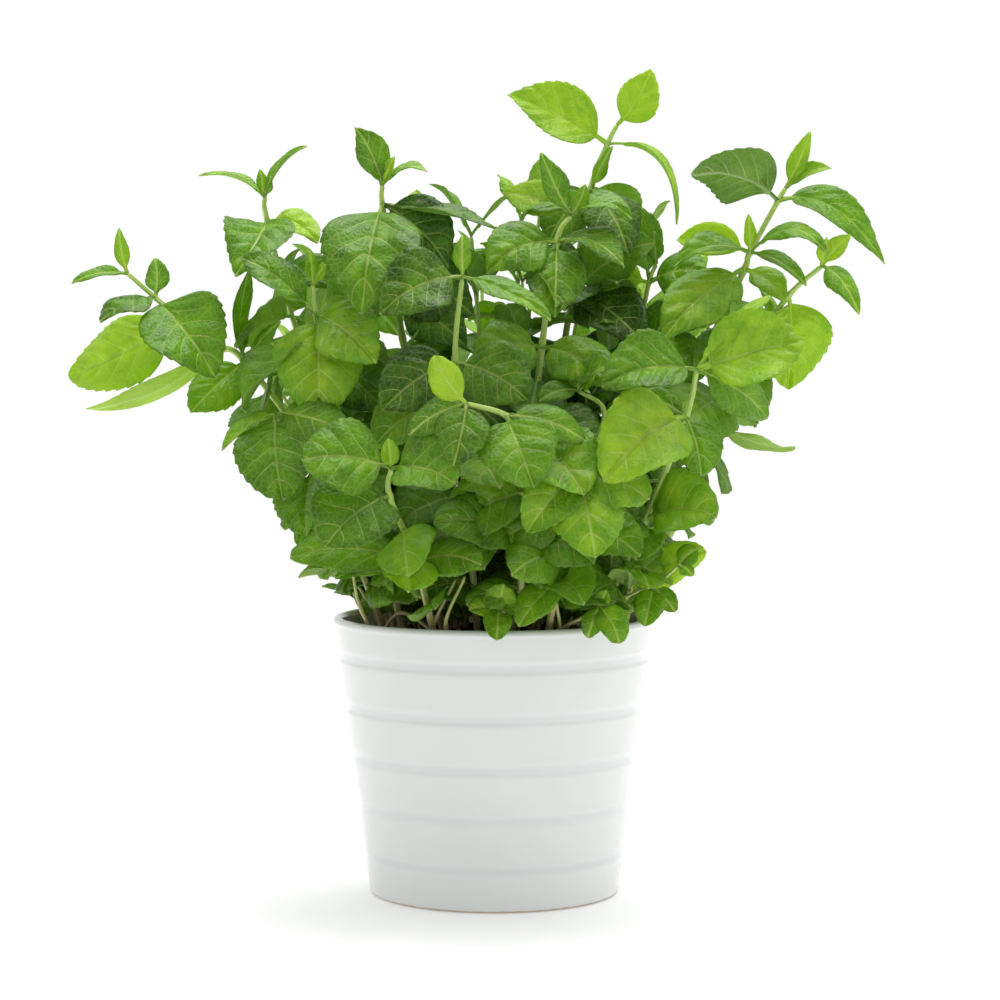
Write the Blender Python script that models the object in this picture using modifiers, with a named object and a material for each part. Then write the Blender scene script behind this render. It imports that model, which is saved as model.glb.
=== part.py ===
"""A mint plant in a ribbed, glazed flower pot, in metres, +Z up, standing on Z = 0.

The pot is turned about Z. The compost fills it, with a socket for each stem. Each stem is a
square tube through its nodes, and each leaf is a thin folded blade that starts at a node.
"""

import math

import bmesh
import bpy
from mathutils import Vector

MM = 0.001

# The pot
POT_HEIGHT = 120 * MM
RIM_RADIUS = 70 * MM
BASE_RADIUS = 54 * MM
WALL = 4.5 * MM
FLOOR = 7 * MM
EDGE_ROUND = 1.6 * MM
GROOVE_COUNT = 5
FIRST_GROOVE = 104 * MM
GROOVE_PITCH = 21.6 * MM
GROOVE_DEPTH = 0.8 * MM
GROOVE_HALF_WIDTH = 2.4 * MM
TURN_STEPS = 40

# The compost
GAP = 0.3 * MM
COMPOST_EDGE = 109 * MM
COMPOST_CROWN = 113 * MM
SOCKET_RADIUS = 2.3 * MM
SOCKET_DEPTH = 9 * MM

# The stems, square in section as on every mint
STEM_RADIUS = 1.5 * MM
STEM_TIP_SHARE = 0.6
STEM_STEPS = 3

# The leaves
LEAF_ROWS = 7
LEAF_THICKNESS = 0.7 * MM
PETIOLE_SHARE = 0.13
PETIOLE_WIDTH = 1.3 * MM
TIP_WIDTH = 1.0 * MM
WIDEST_POWER = 0.72
ROUNDNESS = 0.85
FOLD = 0.16

# Each shoot: its nodes from the foot up, in mm, then its leaves. A leaf is its name, the
# node that it grows from, its tip, its width, the way its upper face looks, and how far the
# middle of its midrib is bent away from a straight line.
SHOOTS = {
    "far_left": (
        [(-32, -2, 102), (-70, -10, 178), (-106, -20, 230), (-119, -18, 236), (-134, -22, 249),
         (-143, -28, 257), (-154, -32, 267)],
        [("a", 5, (-115, -54, 225), 33, (2, -9, 3), (0, -3, 2)),
         ("b", 5, (-164, -46, 247), 20, (-3, -5, 8), (0, -1, 2)),
         ("c", 4, (-184, -8, 224), 28, (1, -9, 4), (0, -2, -3)),
         ("d", 2, (-127, -40, 209), 20, (3, -6, 7), (0, -2, 1))],
    ),
    "upper_left": (
        [(-24, 14, 102), (-58, 8, 180), (-84, -2, 240), (-97, -10, 290), (-98, -11, 300)],
        [("a", 3, (-107, -52, 266), 27, (0, -8, 5), (3, -5, 3)),
         ("b", 3, (-75, -16, 281), 20, (1, -5, 9), (1, 1, 3))],
    ),
    "left_middle": (
        [(-36, -24, 102), (-52, -34, 172), (-68, -44, 218), (-74, -50, 250), (-75, -52, 262)],
        [("a", 3, (-103, -62, 274), 24, (2, -6, 8), (0, -2, 2)),
         ("b", 3, (-48, -74, 230), 26, (0, -9, 3), (0, -3, 3))],
    ),
    "left_tall": (
        [(-14, -2, 102), (-28, -10, 180), (-39, -20, 240), (-42, -26, 266), (-47, -30, 296),
         (-47, -31, 304)],
        [("a", 4, (-54, -74, 250), 38, (-1, -9, 4), (0, -8, 5)),
         ("b", 4, (2, -36, 287), 20, (1, -2, 9), (0, 0, 1)),
         ("c", 5, (-58, -36, 328), 14, (3, -9, 3), (1, 0, 1))],
    ),
    "centre_left": (
        [(-6, -28, 102), (-12, -50, 180), (-16, -62, 230), (-13, -68, 265)],
        [("a", 3, (23, -88, 248), 17, (3, -5, 8), (0, -1, 2))],
    ),
    "centre": (
        [(6, -10, 102), (14, -22, 180), (20, -32, 236), (26, -40, 280), (32, -38, 291)],
        [("a", 3, (-3, -54, 267), 25, (0, -8, 5), (-1, -1, 4)),
         ("b", 3, (25, -62, 249), 23, (0, -9, 1), (0, -2, 1))],
    ),
    "tall_back": (
        [(17, 14, 102), (24, 14, 190), (34, 12, 260), (42, 11, 305), (49, 10, 324), (53, 10, 332)],
        [("a", 4, (6, 2, 345), 26, (-1, -8, 5), (1, -1, 1)),
         ("b", 5, (67, 6, 356), 18, (-2, -9, 2), (2, 0, -1)),
         ("c", 4, (79, 2, 289), 13, (6, -2, 7), (7, 0, 10))],
    ),
    "right_top": (
        [(38, 2, 102), (68, -6, 185), (92, -12, 238), (106, -20, 269), (108, -24, 276),
         (120, -22, 298), (123, -22, 303)],
        [("a", 5, (82, -36, 309), 28, (0, 7, 6), (2, -2, 4)),
         ("b", 5, (165, -34, 272), 18, (2, -7, 6), (-1, -2, 10)),
         ("c", 4, (138, -44, 276), 15, (1, -5, 8), (1, -2, 9)),
         ("d", 3, (69, -46, 240), 28, (-2, -8, 5), (0, -2, 3))],
    ),
    "right_tip": (
        [(46, -18, 102), (76, -22, 172), (94, -23, 204), (108, -24, 234), (124, -30, 258),
         (137, -36, 270)],
        [("a", 4, (125, -18, 218), 30, (1, -9, 1), (1, -1, 3)),
         ("b", 5, (152, -46, 250), 13, (4, -8, 4), (0, -1, 4))],
    ),
    "right_front": (
        [(34, -36, 102), (62, -60, 165), (78, -74, 208), (82, -80, 227)],
        [("a", 3, (43, -92, 221), 26, (0, -8, 6), (0, -2, 4)),
         ("b", 3, (125, -78, 239), 30, (1, -9, 4), (0, -2, 1)),
         ("c", 2, (83, -92, 185), 20, (1, -9, 2), (1, -1, 1)),
         ("d", 2, (44, -106, 184), 33, (0, -9, 3), (0, -2, 5))],
    ),
    "front_right": (
        [(20, -44, 102), (26, -66, 140), (34, -94, 185)],
        [("a", 2, (40, -114, 154), 27, (0, -9, 2), (0, -2, 2))],
    ),
    "front_centre": (
        [(7, -46, 102), (13, -70, 160), (15, -86, 196), (5, -96, 209), (-11, -100, 214)],
        [("a", 3, (16, -112, 182), 30, (1, -9, 3), (-1, -2, 2)),
         ("b", 4, (-16, -112, 190), 20, (0, -9, 3), (1, -2, 2))],
    ),
    "front_left": (
        [(-22, -42, 102), (-32, -68, 148), (-42, -90, 177), (-41, -98, 188)],
        [("a", 3, (-76, -106, 192), 31, (0, -8, 5), (0, -2, 3)),
         ("b", 3, (-15, -112, 183), 26, (0, -8, 6), (0, -2, 3)),
         ("c", 2, (-67, -108, 158), 34, (-1, -8, 5), (0, -3, 3))],
    ),
    "left_low": (
        [(-42, -12, 102), (-66, -36, 165), (-90, -60, 209)],
        [("a", 2, (-86, -80, 175), 31, (-1, -9, 2), (-1, -2, 2))],
    ),
    "back_left": (
        [(-26, 34, 102), (-50, 62, 170), (-66, 78, 228), (-70, 82, 262)],
        [("a", 3, (-104, 86, 250), 28, (-1, 5, 8), (0, 2, 6)),
         ("b", 3, (-44, 104, 242), 30, (1, 8, 5), (0, 3, 4)),
         ("c", 1, (-62, 108, 152), 32, (0, 9, 3), (0, 4, 4))],
    ),
    "back_right": (
        [(18, 38, 102), (40, 68, 170), (60, 88, 226), (66, 92, 254)],
        [("a", 3, (100, 100, 240), 30, (1, 6, 7), (0, 2, 6)),
         ("b", 3, (40, 116, 232), 29, (0, 8, 5), (0, 3, 4)),
         ("c", 1, (56, 116, 150), 32, (0, 9, 3), (0, 4, 4))],
    ),
}


def profile_of_pot():
    """(radius, height) points down the outside, across the flat foot and up the inside."""
    def outer(height):
        return BASE_RADIUS + (RIM_RADIUS - BASE_RADIUS) * height / POT_HEIGHT

    points = [
        (RIM_RADIUS - WALL / 2, POT_HEIGHT),
        (RIM_RADIUS - EDGE_ROUND / 2, POT_HEIGHT - EDGE_ROUND / 4),
        (RIM_RADIUS, POT_HEIGHT - EDGE_ROUND),
    ]
    for number in range(GROOVE_COUNT):
        middle = FIRST_GROOVE - number * GROOVE_PITCH
        for shift, depth in ((1, 0), (0.3, 1), (-0.3, 1), (-1, 0)):
            height = middle + shift * GROOVE_HALF_WIDTH
            points.append((outer(height) - depth * GROOVE_DEPTH, height))
    inner_base = outer(FLOOR + 3 * EDGE_ROUND) - WALL
    points += [
        (outer(EDGE_ROUND), EDGE_ROUND),
        (BASE_RADIUS - EDGE_ROUND, 0),
        (0, 0),
        (0, FLOOR),
        (inner_base - 3 * EDGE_ROUND, FLOOR),
        (inner_base, FLOOR + 3 * EDGE_ROUND),
        (outer(POT_HEIGHT - EDGE_ROUND) - WALL, POT_HEIGHT - EDGE_ROUND),
        (RIM_RADIUS - WALL * 0.85, POT_HEIGHT - EDGE_ROUND / 4),
    ]
    return points


def profile_of_compost():
    """(radius, height) points over the crown of the compost, down the wall and under it."""
    outer_slope = (RIM_RADIUS - BASE_RADIUS) / POT_HEIGHT

    def inner(height):
        return BASE_RADIUS + outer_slope * height - WALL - 2 * GAP

    bottom = FLOOR + GAP
    corner = 5 * EDGE_ROUND
    return [
        (0, COMPOST_CROWN),
        (inner(COMPOST_EDGE) * 0.55, COMPOST_CROWN - 1 * MM),
        (inner(COMPOST_EDGE), COMPOST_EDGE),
        (inner(bottom + corner), bottom + corner),
        (inner(bottom) - corner, bottom),
        (0, bottom),
    ]


def turned(name, points, closed):
    """A solid of revolution: the profile is an edge chain in XZ, turned by a Screw modifier."""
    mesh = bpy.data.meshes.new(name)
    edges = [(i, i + 1) for i in range(len(points) - 1)]
    if closed:
        edges.append((len(points) - 1, 0))
    mesh.from_pydata([(radius, 0, height) for radius, height in points], edges, [])
    obj = bpy.data.objects.new(name, mesh)
    screw = obj.modifiers.new("turn", "SCREW")
    screw.steps = TURN_STEPS
    screw.render_steps = TURN_STEPS
    screw.use_merge_vertices = True
    screw.merge_threshold = 0.00001
    return obj


def route_through(nodes):
    """Points along a Catmull-Rom curve through the nodes, with STEM_STEPS to each stretch."""
    points = [Vector(node) * MM for node in nodes]
    ends = [2 * points[0] - points[1]] + points + [2 * points[-1] - points[-2]]
    route = []
    for before, start, end, after in zip(ends, ends[1:], ends[2:], ends[3:]):
        for step in range(STEM_STEPS):
            t = step / STEM_STEPS
            route.append(
                0.5 * (2 * start + (end - before) * t
                       + (2 * before - 5 * start + 4 * end - after) * t ** 2
                       + (3 * start - before - 3 * end + after) * t ** 3)
            )
    route.append(points[-1])
    return route


def stem_share(place):
    """How thick the stem is at this share of its length, from the foot to the tip."""
    return 1 + (STEM_TIP_SHARE - 1) * place


def stem(name, nodes):
    """A square tube through the nodes, thinner towards its tip."""
    route = route_through(nodes)
    data = bpy.data.curves.new(name, "CURVE")
    data.dimensions = "3D"
    data.bevel_depth = STEM_RADIUS
    data.bevel_resolution = 0
    data.use_fill_caps = True
    spline = data.splines.new("POLY")
    spline.points.add(len(route) - 1)
    for number, (point, place) in enumerate(zip(spline.points, route)):
        point.co = (*place, 1)
        point.radius = stem_share(number / (len(route) - 1))
    return bpy.data.objects.new(name, data)


def socket(name, nodes):
    """A round cutter along the foot of a stem, from under its end to above the compost."""
    foot, above = route_through(nodes)[:2]
    way = (above - foot).normalized()
    bpy.ops.mesh.primitive_cylinder_add(vertices=10, radius=SOCKET_RADIUS, depth=2 * SOCKET_DEPTH)
    cutter = bpy.context.object
    cutter.name = name
    cutter.rotation_mode = "QUATERNION"
    cutter.rotation_quaternion = way.to_track_quat("Z", "Y")
    cutter.location = foot + way * (SOCKET_DEPTH - GAP)
    return cutter


def blade_half_width(place, width):
    """Half the leaf's width at this share of its length: a stalk, then an ovate blade."""
    blade = (place - PETIOLE_SHARE) / (1 - PETIOLE_SHARE)
    if blade <= 0:
        return PETIOLE_WIDTH / 2
    ovate = math.sin(math.pi * min(blade, 1) ** WIDEST_POWER) ** ROUNDNESS if blade < 1 else 0
    least = PETIOLE_WIDTH / 2 if blade < 0.5 else TIP_WIDTH / 2
    return max(width / 2 * ovate, least)


def leaf(name, nodes, row):
    """A thin blade from a node to its tip: a grid that follows the midrib and folds along it."""
    _, number, tip, width, face, bend = row
    route = route_through(nodes)
    at = number * STEM_STEPS
    node, tip, bend = route[at], Vector(tip) * MM, Vector(bend) * MM
    stem_way = (route[min(at + 1, len(route) - 1)] - route[at - 1]).normalized()
    way = (tip - node + 4 * bend).normalized()
    lean = way.cross(stem_way).length
    radius = STEM_RADIUS * stem_share(at / (len(route) - 1))
    if at == len(route) - 1:
        start = node + way * (radius * lean + 1.3 * GAP)
    else:
        start = node + way * (radius + 1.5 * GAP) / max(lean, 0.45)
    cage = bmesh.new()
    bmesh.ops.create_grid(cage, x_segments=2, y_segments=LEAF_ROWS, size=1)
    for vert in cage.verts:
        across, place = vert.co.x, (vert.co.y + 1) / 2
        half = blade_half_width(place, width * MM)
        along = (tip - start + 4 * bend * (1 - 2 * place)).normalized()
        side = along.cross(Vector(face)).normalized()
        up = side.cross(along)
        midrib = start.lerp(tip, place) + 4 * bend * place * (1 - place)
        vert.co = midrib + side * across * half + up * FOLD * abs(across) * half
    mesh = bpy.data.meshes.new(name)
    cage.to_mesh(mesh)
    cage.free()
    obj = bpy.data.objects.new(name, mesh)
    solidify = obj.modifiers.new("thickness", "SOLIDIFY")
    solidify.thickness = LEAF_THICKNESS
    solidify.offset = 0
    return obj


def material(name, colour, roughness):
    """A Principled material of one plain colour."""
    made = bpy.data.materials.new(name)
    made.use_nodes = True
    shader = made.node_tree.nodes["Principled BSDF"]
    shader.inputs["Base Color"].default_value = (*colour, 1)
    shader.inputs["Roughness"].default_value = roughness
    shader.inputs["Metallic"].default_value = 0
    return made


def main():
    for obj in list(bpy.data.objects):
        bpy.data.objects.remove(obj)
    plant = bpy.data.collections.new("potted_mint")
    cutters = bpy.data.collections.new("sockets")
    for collection in (plant, cutters):
        bpy.context.scene.collection.children.link(collection)

    def put(obj, finish):
        obj.data.materials.append(finish)
        plant.objects.link(obj)

    glaze = material("white glaze", (0.80, 0.81, 0.80), 0.25)
    peat = material("peat compost", (0.035, 0.022, 0.013), 0.95)
    green_stem = material("mint stem", (0.36, 0.44, 0.12), 0.5)
    green_leaf = material("mint leaf", (0.11, 0.27, 0.02), 0.45)

    put(turned("pot", profile_of_pot(), True), glaze)
    compost = turned("compost", profile_of_compost(), False)
    put(compost, peat)
    for shoot, (nodes, leaves) in SHOOTS.items():
        put(stem(f"stem_{shoot}", nodes), green_stem)
        for row in leaves:
            put(leaf(f"leaf_{shoot}_{row[0]}", nodes, row), green_leaf)
        cutter = socket(f"socket_{shoot}", nodes)
        for holder in list(cutter.users_collection):
            holder.objects.unlink(cutter)
        cutters.objects.link(cutter)
        cutter.hide_render = True
        cutter.display_type = "WIRE"
    cut = compost.modifiers.new("sockets", "BOOLEAN")
    cut.operation = "DIFFERENCE"
    cut.operand_type = "COLLECTION"
    cut.collection = cutters
    cut.solver = "EXACT"


main()
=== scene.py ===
"""The looks of a mint plant in a ribbed white pot, in metres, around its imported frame."""

import bpy
import numpy as np
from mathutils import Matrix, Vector


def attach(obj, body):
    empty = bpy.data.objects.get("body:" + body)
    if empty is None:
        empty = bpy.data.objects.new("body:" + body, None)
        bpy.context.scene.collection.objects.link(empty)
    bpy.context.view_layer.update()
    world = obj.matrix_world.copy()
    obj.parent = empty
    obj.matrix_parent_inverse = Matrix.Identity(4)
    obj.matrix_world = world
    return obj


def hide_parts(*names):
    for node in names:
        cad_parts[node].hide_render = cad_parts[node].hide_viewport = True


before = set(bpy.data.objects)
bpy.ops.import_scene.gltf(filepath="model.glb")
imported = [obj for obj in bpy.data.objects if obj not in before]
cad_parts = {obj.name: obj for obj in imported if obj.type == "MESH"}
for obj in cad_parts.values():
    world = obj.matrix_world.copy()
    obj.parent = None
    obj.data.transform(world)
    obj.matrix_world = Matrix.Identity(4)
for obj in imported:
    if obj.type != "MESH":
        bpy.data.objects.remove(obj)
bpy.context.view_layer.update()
MM = 0.001

# ---------------------------------------------------------------------------------------
# The pot: slip-cast stoneware under a thick white glaze. It is turned, with soft rings
# pressed in while the clay was wet, and the glaze stops just above the bare foot.

POT_HEIGHT = 120 * MM
RIM_RADIUS = 70 * MM
FOOT_RADIUS = 54 * MM
POT_WALL = 4.5 * MM
POT_FLOOR = 7 * MM
RING_HEIGHTS = np.array([104, 82.4, 60.8, 39.2, 17.6]) * MM
RING_DEPTH = 0.42 * MM
RING_HALF_WIDTH = 2.3 * MM
RING_GAP = 21.6 * MM
FOOT_ROUND = 1.6 * MM
BARE_FOOT = 0.7 * MM
POT_SPOKES = 192
SAME_POINT = 1e-7


def placed(name, data):
    """An object at the origin that shows a mesh, a light or a camera."""
    made = bpy.data.objects.new(name, data)
    bpy.context.scene.collection.objects.link(made)
    return made


def closed_surface(name, rings, material):
    """A mesh from a grid of points, rings by spokes. Quads join neighbours along both
    parameters, and the last spoke joins the first. Each end ring that has shrunk to a
    point becomes one vertex with a fan of triangles."""
    count, spokes = rings.shape[:2]
    points = rings.reshape(-1, 3)
    ring, spoke = np.meshgrid(np.arange(count - 1), np.arange(spokes), indexing="ij")
    after = (spoke + 1) % spokes
    quads = np.stack(
        [ring * spokes + spoke, ring * spokes + after,
         (ring + 1) * spokes + after, (ring + 1) * spokes + spoke], axis=-1,
    ).reshape(-1, 4)
    _, first, index = np.unique(
        np.round(points / SAME_POINT).astype(np.int64), axis=0,
        return_index=True, return_inverse=True,
    )
    quads = index.reshape(-1)[quads]
    mesh = bpy.data.meshes.new(name)
    corners = [list(dict.fromkeys(quad)) for quad in quads.tolist()]
    mesh.from_pydata(points[first].tolist(), [], [face for face in corners if len(face) > 2])
    mesh.shade_smooth()
    mesh.materials.append(material)
    return placed(name, mesh)


def linear(code):
    """A hex sRGB colour as linear RGBA."""
    value = np.array([int(code[i:i + 2], 16) for i in (0, 2, 4)]) / 255
    value = np.where(value <= 0.04045, value / 12.92, ((value + 0.055) / 1.055) ** 2.4)
    return (*value.tolist(), 1.0)


def add(tree, kind, inputs=None, **settings):
    """Adds one node: settings are its properties, and each input is a value, or another
    node or one of its outputs, which is linked. A node stands for its first output in use."""
    made = tree.nodes.new("ShaderNode" + kind)
    for name, value in settings.items():
        setattr(made, name, value)
    for key, value in (inputs or {}).items():
        if isinstance(value, bpy.types.Node):
            value = next(output for output in value.outputs if output.enabled)
        if isinstance(value, bpy.types.NodeSocket):
            tree.links.new(value, made.inputs[key])
        else:
            made.inputs[key].default_value = value
    return made


def new_material(name):
    """A new material, its node tree and its shader."""
    made = bpy.data.materials.new(name)
    made.use_nodes = True
    return made, made.node_tree, made.node_tree.nodes["Principled BSDF"]


def pot_profile():
    """Radius and height from the rim, down the outer wall, over the foot, and up inside.
    The outer wall is a straight taper with a slight belly, less a flat-bottomed dip at
    each ring: depth * exp(-(distance / half width) ** 4)."""
    lip = np.linspace(np.pi, 0, 17)
    lip_round = POT_WALL / 2
    middle = RIM_RADIUS - lip_round
    height = np.linspace(POT_HEIGHT - lip_round, FOOT_ROUND, 170)
    share = height / POT_HEIGHT
    wall = FOOT_RADIUS + (RIM_RADIUS - FOOT_RADIUS) * share + 0.5 * MM * np.sin(np.pi * share)
    away = (height[:, None] - RING_HEIGHTS) / RING_HALF_WIDTH
    wall = wall - (RING_DEPTH * np.exp(-away ** 4)).sum(axis=1)
    turn = np.linspace(0, np.pi / 2, 8)[1:]
    foot = FOOT_RADIUS - FOOT_ROUND
    inner = np.linspace(POT_FLOOR + 4 * MM, POT_HEIGHT - lip_round, 40)
    inside = FOOT_RADIUS + (RIM_RADIUS - FOOT_RADIUS) * inner / POT_HEIGHT - POT_WALL
    radius = np.concatenate([
        middle + lip_round * np.cos(lip), wall[1:], foot + FOOT_ROUND * np.cos(turn),
        [foot * 0.6, 0], [0, FOOT_RADIUS - POT_WALL - 4 * MM], inside,
    ])
    level = np.concatenate([
        POT_HEIGHT - lip_round + lip_round * np.sin(lip), height[1:],
        FOOT_ROUND * (1 - np.sin(turn)), [0, 0], [POT_FLOOR, POT_FLOOR], inner,
    ])
    return radius, level


def glazed_stoneware():
    """White tin glaze, fired: hard, smooth and glossy, with a faint orange-peel waviness.
    The rings are painted a little greyer and bluer, as painted shade, and bare buff clay shows at
    the foot."""
    made, tree, shader = new_material("white glazed stoneware")
    place = add(tree, "TexCoord").outputs["Object"]
    axes = add(tree, "SeparateXYZ", {0: place})
    cloud = add(tree, "TexNoise", {"Vector": place, "Scale": 28, "Detail": 3})
    white = add(tree, "Mix", {
        0: cloud, 6: linear("DBDEDC"), 7: linear("E1E3E1"),
    }, data_type="RGBA")
    # The nearness to a ring, in metres, rises and falls once in each RING_GAP of height; it
    # places the painted shade in the rings
    lowest = RING_HEIGHTS[-1] - RING_GAP / 2
    step = add(tree, "Math", {0: axes.outputs["Z"], 1: lowest}, operation="SUBTRACT")
    saw = add(tree, "Math", {0: step, 1: RING_GAP / 2}, operation="PINGPONG")
    ring_shade_mask = add(tree, "MapRange", {
        "Value": saw, "From Min": RING_GAP / 2 - 2.6 * MM,
        "From Max": RING_GAP / 2 - 0.4 * MM,
    }, interpolation_type="SMOOTHSTEP")
    # Painted shade: the glaze is drawn greyer and bluer in each ring
    ring_shaded_glaze = add(tree, "Mix", {0: ring_shade_mask, 6: white, 7: linear("D8DCDC")}, data_type="RGBA")
    ragged = add(tree, "TexNoise", {"Vector": place, "Scale": 240, "Detail": 2})
    edge = add(tree, "Math", {
        0: ragged, 1: 0.0008, 2: BARE_FOOT - 0.0004,
    }, operation="MULTIPLY_ADD")
    bare = add(tree, "Math", {0: axes.outputs["Z"], 1: edge}, operation="LESS_THAN")
    colour = add(tree, "Mix", {0: bare, 6: ring_shaded_glaze, 7: linear("B7AB98")}, data_type="RGBA")
    tree.links.new(colour.outputs[2], shader.inputs["Base Color"])
    rough = add(tree, "Mix", {0: bare, 2: 0.16, 3: 0.85})
    tree.links.new(rough.outputs[0], shader.inputs["Roughness"])
    wave = add(tree, "TexNoise", {"Vector": place, "Scale": 90, "Detail": 1})
    bump = add(tree, "Bump", {"Height": wave, "Strength": 0.35, "Distance": 0.00025})
    tree.links.new(bump.outputs[0], shader.inputs["Normal"])
    shader.inputs["IOR"].default_value = 1.52
    return made


radius, level = pot_profile()
angle = np.linspace(0, 2 * np.pi, POT_SPOKES, endpoint=False)
pot = closed_surface(
    "pot_glazed",
    np.stack([radius[:, None] * np.cos(angle), radius[:, None] * np.sin(angle),
              np.broadcast_to(level[:, None], (len(level), len(angle)))], axis=-1)[::-1],
    glazed_stoneware(),
)
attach(pot, "root")
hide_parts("pot")

# ---------------------------------------------------------------------------------------
# The compost: moist, dark peat with bits of bark, poured in and settled. It is a lumpy
# heap over a plug that fills the pot, with loose crumbs and fibres lying on it.

COMPOST_CROWN = 113 * MM
COMPOST_EDGE = 109 * MM
COMPOST_RINGS = 56
COMPOST_SPOKES = 140
CRUMB_COUNT = 420
LUMP_CELLS = 64
rng = np.random.default_rng(11)


def lumps(x, y, size, seed):
    """Smooth random heights from -1 to 1: random values on a square grid of the given
    size, blended between the four nearest with s = t * t * (3 - 2 * t)."""
    table = np.random.default_rng(seed).uniform(-1, 1, (LUMP_CELLS, LUMP_CELLS))
    x, y = x / size + LUMP_CELLS / 2, y / size + LUMP_CELLS / 2
    column, row = np.floor(x).astype(int), np.floor(y).astype(int)
    across, along = x - column, y - row
    across, along = across ** 2 * (3 - 2 * across), along ** 2 * (3 - 2 * along)
    column, beside = column % LUMP_CELLS, (column + 1) % LUMP_CELLS
    near, far = (table[line, column] * (1 - across) + table[line, beside] * across
                 for line in (row % LUMP_CELLS, (row + 1) % LUMP_CELLS))
    return near * (1 - along) + far * along


def compost_height(x, y):
    """A low dome, COMPOST_CROWN at its middle, with clods of 14, 5 and 2 mm added."""
    share = np.hypot(x, y) / (RIM_RADIUS - POT_WALL)
    dome = COMPOST_CROWN - (COMPOST_CROWN - COMPOST_EDGE) * share ** 2
    return (dome + 1.2 * MM * lumps(x, y, 14 * MM, 1) + 0.8 * MM * lumps(x, y, 5 * MM, 2)
            + 0.45 * MM * lumps(x, y, 2.2 * MM, 3))


def moist_peat():
    """Moist peat: near-black brown, matt and crumbly, with paler dry grains of bark."""
    made, tree, shader = new_material("moist peat compost")
    place = add(tree, "TexCoord").outputs["Object"]
    # Scales: 1 / 0.9 mm for grains, 1 / 6 mm for damp patches
    grain = add(tree, "TexVoronoi", {"Vector": place, "Scale": 1100})
    damp = add(tree, "TexNoise", {"Vector": place, "Scale": 170, "Detail": 4})
    base = add(tree, "Mix", {0: damp, 6: linear("1C130C"), 7: linear("4A3625")}, data_type="RGBA")
    pale = add(tree, "MapRange", {
        "Value": grain.outputs["Color"], "From Min": 0.8, "From Max": 0.95,
    })
    colour = add(tree, "Mix", {0: pale, 6: base, 7: linear("7A5E42")}, data_type="RGBA")
    tree.links.new(colour.outputs[2], shader.inputs["Base Color"])
    shader.inputs["Roughness"].default_value = 0.92
    bump = add(tree, "Bump", {"Height": grain, "Strength": 0.7, "Distance": 0.0005})
    tree.links.new(bump.outputs[0], shader.inputs["Normal"])
    return made


angle = np.linspace(0, 2 * np.pi, COMPOST_SPOKES, endpoint=False)
inner_slope = (RIM_RADIUS - FOOT_RADIUS) / POT_HEIGHT
top_radius = FOOT_RADIUS + inner_slope * COMPOST_EDGE - POT_WALL - 0.3 * MM
bottom_radius = FOOT_RADIUS + inner_slope * POT_FLOOR - POT_WALL - 5 * MM
spread = np.linspace(0, 1, COMPOST_RINGS)[:, None] * top_radius
top = np.stack([spread * np.cos(angle), spread * np.sin(angle)], axis=-1)
top = np.concatenate([top, compost_height(top[..., 0], top[..., 1])[..., None]], axis=-1)
under = np.array([bottom_radius, 0.0])[:, None] * np.ones(len(angle))
under = np.stack([under * np.cos(angle), under * np.sin(angle),
                  np.full_like(under, POT_FLOOR + 0.4 * MM)], axis=-1)
peat = moist_peat()
compost = closed_surface("compost_bed", np.concatenate([top, under])[::-1], peat)
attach(compost, "root")
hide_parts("compost")

# Crumbs: squashed balls of 4 rings by 6 spokes with every point pushed in or out
turn = np.linspace(0, 2 * np.pi, 6, endpoint=False)
tilt = np.array([0, 0.9, 1.7, 2.4, np.pi])
ball = np.stack([np.sin(tilt)[:, None] * np.cos(turn), np.sin(tilt)[:, None] * np.sin(turn),
                 np.cos(tilt)[:, None] * np.ones(6)], axis=-1)
away = np.sqrt(rng.uniform(0, 1, CRUMB_COUNT)) * 0.96 * top_radius
heading = rng.uniform(0, 2 * np.pi, CRUMB_COUNT)
size = rng.uniform(0.5, 1.7, CRUMB_COUNT) ** 1.3 * MM
crumbs = (ball[None] * size[:, None, None, None]
          * rng.uniform(0.6, 1.2, (CRUMB_COUNT, 1, 1, 3))
          * (1 + 0.25 * rng.uniform(-1, 1, (CRUMB_COUNT, 5, 6, 1)) * np.sin(tilt)[:, None, None]))
east, north = away * np.cos(heading), away * np.sin(heading)
level = compost_height(east, north) + size * 0.3
crumbs += np.stack([east, north, level], axis=-1)[:, None, None]
ring, spoke = np.meshgrid(np.arange(4), np.arange(6), indexing="ij")
quads = np.stack([ring * 6 + spoke, (ring + 1) * 6 + spoke,
                  (ring + 1) * 6 + (spoke + 1) % 6, ring * 6 + (spoke + 1) % 6], axis=-1)
quads = np.where(quads < 6, 0, np.where(quads > 23, 24, quads)).reshape(-1, 4)
quads = (quads[None] + 30 * np.arange(CRUMB_COUNT)[:, None, None]).reshape(-1, 4)
mesh = bpy.data.meshes.new("compost_crumbs")
corners = [list(dict.fromkeys(quad)) for quad in quads.tolist()]
used = np.unique(np.concatenate([np.array(corner) for corner in corners]))
number = np.zeros(30 * CRUMB_COUNT, int)
number[used] = np.arange(len(used))
mesh.from_pydata(crumbs.reshape(-1, 3)[used].tolist(), [],
                 [[int(number[i]) for i in corner] for corner in corners])
mesh.shade_smooth()
mesh.materials.append(peat)
crumbs = placed("compost_crumbs", mesh)
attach(crumbs, "root")

# ---------------------------------------------------------------------------------------
# The shoots' plan: where each stem runs and where each of its leaves points. Mint grows
# its leaves in pairs at the stem's nodes, each pair turned a quarter from the last.

SHOOTS = {}


def shoot(name, packed, nodes, leaves):
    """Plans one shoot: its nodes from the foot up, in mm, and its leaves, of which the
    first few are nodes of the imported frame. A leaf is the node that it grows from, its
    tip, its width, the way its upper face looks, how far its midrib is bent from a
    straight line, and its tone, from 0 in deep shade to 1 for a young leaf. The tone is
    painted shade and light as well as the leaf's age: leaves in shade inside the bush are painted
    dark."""
    SHOOTS[name] = (nodes, leaves[:packed], leaves[packed:])


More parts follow.
